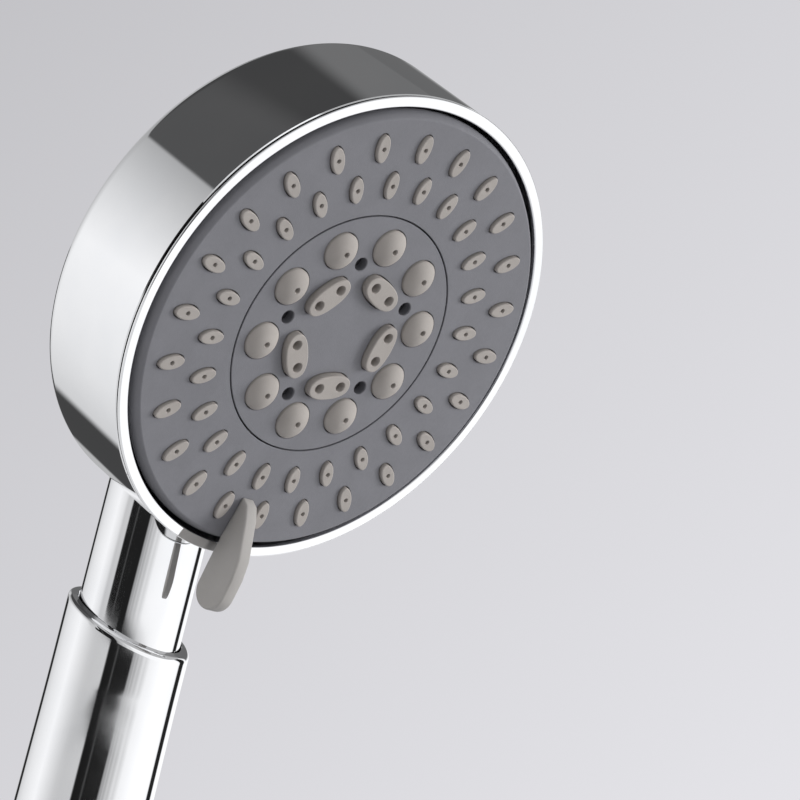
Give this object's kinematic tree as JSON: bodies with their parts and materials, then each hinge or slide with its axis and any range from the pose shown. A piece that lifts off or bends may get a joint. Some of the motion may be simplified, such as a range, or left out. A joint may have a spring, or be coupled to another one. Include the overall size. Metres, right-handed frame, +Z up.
{
  "type": "handheld shower head",
  "caption": "Handheld shower head: a drum-shaped head tilted on a round chrome handle, with a turning spray face, soft nozzles and a thumb lever that selects the spray mode.",
  "frame": {"origin": "middle of the grip's bottom rim, on the handle's axis", "axes": "+Z up along the handle's axis, the spray face looks to -Y and is tilted 21 degrees down, +X to the right seen from the front"},
  "size_m": [0.1, 0.0671, 0.2415],
  "materials": {
    "chrome": "bright chrome plating on ABS",
    "face_plastic": "satin grey moulded ABS",
    "lever_plastic": "satin grey moulded ABS",
    "nozzle_silicone": "matt warm grey silicone",
    "valve_plastic": "natural acetal and ABS",
    "dark_plastic": "dark moulded plastic",
    "seal_rubber": "black nitrile rubber",
    "spring_steel": "stainless wire and sheet",
    "screw_metal": "stainless screws"
  },
  "bodies": {
    "handle_and_shell": {"head_shell": "chrome", "trim_ring": "chrome", "handle_grip": "chrome", "hose_connector": "chrome", "filter_screen": "spring_steel", "flow_regulator": "valve_plastic", "regulator_o_ring": "seal_rubber", "water_tube": "valve_plastic", "tube_seal_lower": "seal_rubber", "tube_seal_upper": "seal_rubber", "neck_seal": "seal_rubber", "valve_seat": "valve_plastic", "seat_seal": "seal_rubber", "port_seal": "seal_rubber", "port_seal_spring": "spring_steel", "detent_spring": "spring_steel", "pivot_screw": "screw_metal", "pivot_washer": "spring_steel", "seat_screw_1": "screw_metal", "seat_screw_2": "screw_metal", "seat_screw_3": "screw_metal"},
    "spray_face": {"face_ring": "face_plastic", "face_disc": "face_plastic", "nozzle_mat_outer": "nozzle_silicone", "nozzle_mat_inner": "nozzle_silicone", "mode_lever": "lever_plastic", "channel_plate": "valve_plastic", "selector_plate": "valve_plastic", "mist_insert_1": "dark_plastic", "mist_insert_2": "dark_plastic", "mist_insert_3": "dark_plastic", "mist_insert_4": "dark_plastic", "mist_insert_5": "dark_plastic"},
    "turbine_wheel": {"turbine": "valve_plastic"},
    "click_pin": {"detent_pin": "valve_plastic"}
  },
  "joints": [
    {"name": "mode_select", "type": "hinge", "parent": "handle_and_shell", "child": "spray_face", "pos_m": [0, -0.03576, 0.17328], "axis": [0, -0.9336, -0.3584], "range_deg": [-72, 72]},
    {"name": "turbine_spin", "type": "hinge", "parent": "spray_face", "child": "turbine_wheel", "pos_m": [0, -0.03576, 0.17328], "axis": [0, -0.9336, -0.3584], "continuous": true},
    {"name": "click_pin_travel", "type": "slide", "parent": "handle_and_shell", "child": "click_pin", "axis": [0, 0.9336, 0.3584], "range_m": [0, 0.001], "stiffness_N_per_m": 300, "springref_m": -0.002, "deforming": ["detent_spring"]}
  ]
}
